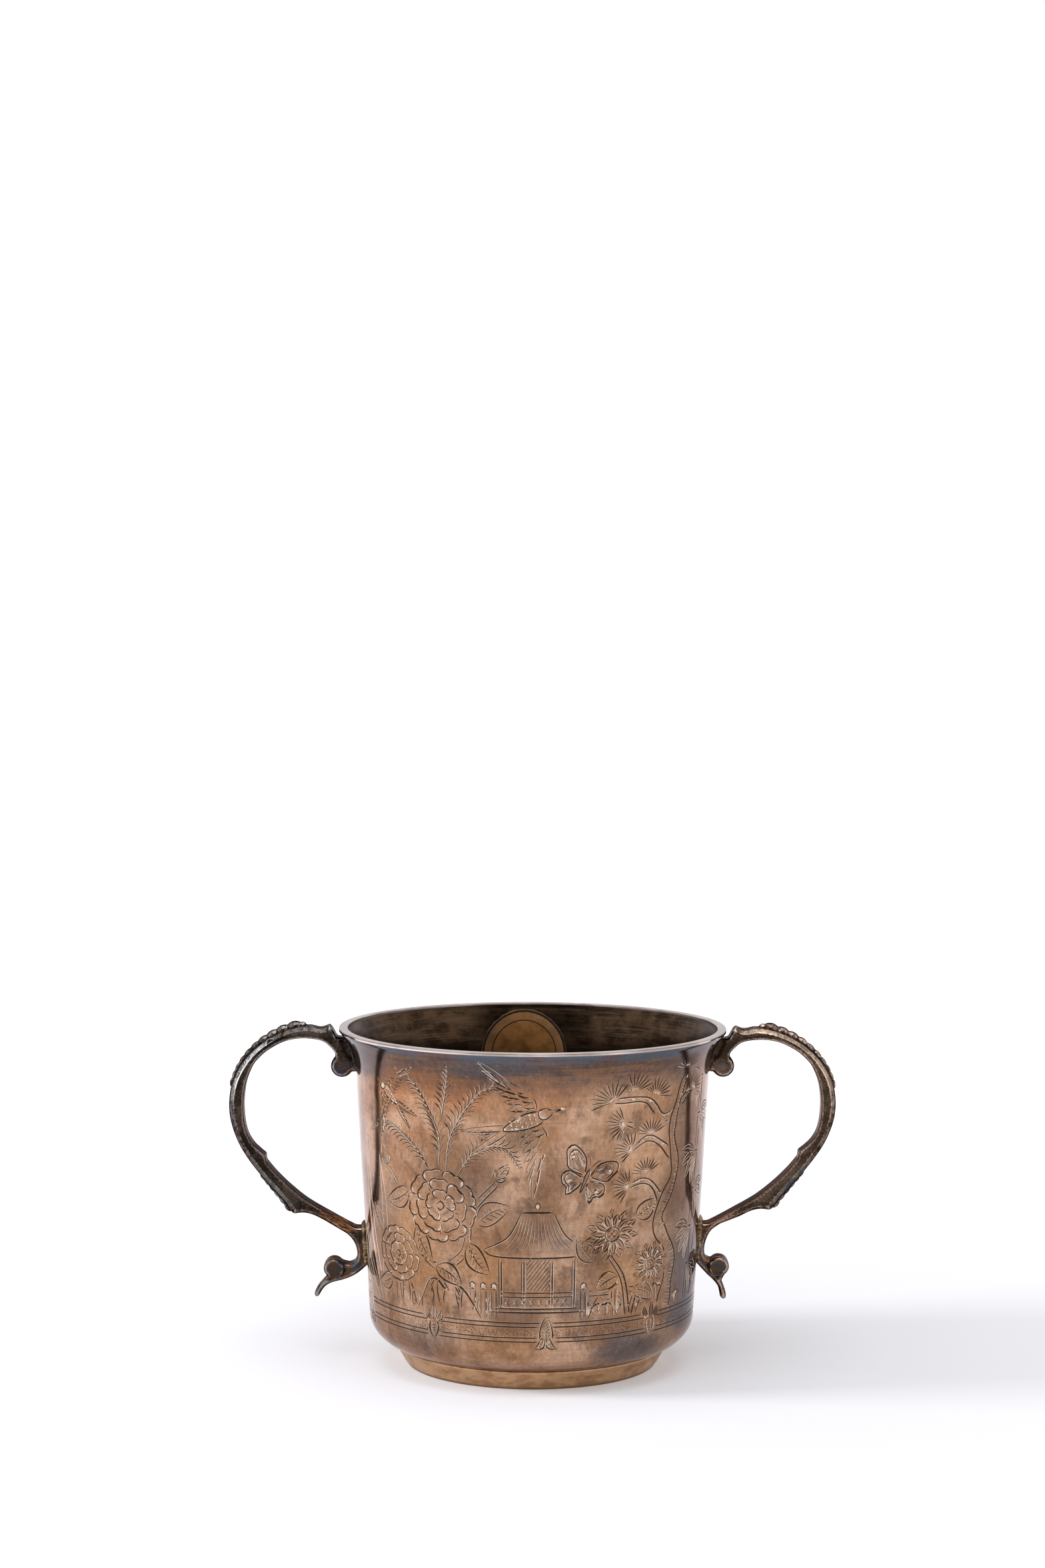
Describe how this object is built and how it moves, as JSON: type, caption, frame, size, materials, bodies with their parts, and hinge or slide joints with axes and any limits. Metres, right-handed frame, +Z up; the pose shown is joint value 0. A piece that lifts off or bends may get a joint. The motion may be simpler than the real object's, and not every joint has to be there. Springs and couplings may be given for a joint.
{
  "type": "two-handled cup",
  "caption": "Low two-handled silver cup with a flared flat-topped lip, engraved wall, soldered foot ring, beaded scroll handles and a round paper label inside.",
  "frame": {"origin": "centre of the foot ring on the table, on the cup's vertical axis", "axes": "+Z up, +X towards the right-hand handle, -Y towards the viewer of the picture"},
  "size_m": [0.162, 0.1034, 0.0912],
  "materials": {
    "body_silver": "tarnished silver, warm brown",
    "foot_silver": "tarnished silver, golden brown",
    "handle_silver": "dark tarnished cast silver",
    "solder": "hard silver solder",
    "label_paper": "aged matt paper with two printed rings"
  },
  "bodies": {
    "root": {"cup_body": "body_silver", "foot_ring": "foot_silver", "foot_solder_seam": "solder", "handle_left": "handle_silver", "handle_right": "handle_silver", "solder_upper_left": "solder", "solder_lower_left": "solder", "solder_upper_right": "solder", "solder_lower_right": "solder", "paper_label": "label_paper"}
  },
  "joints": []
}
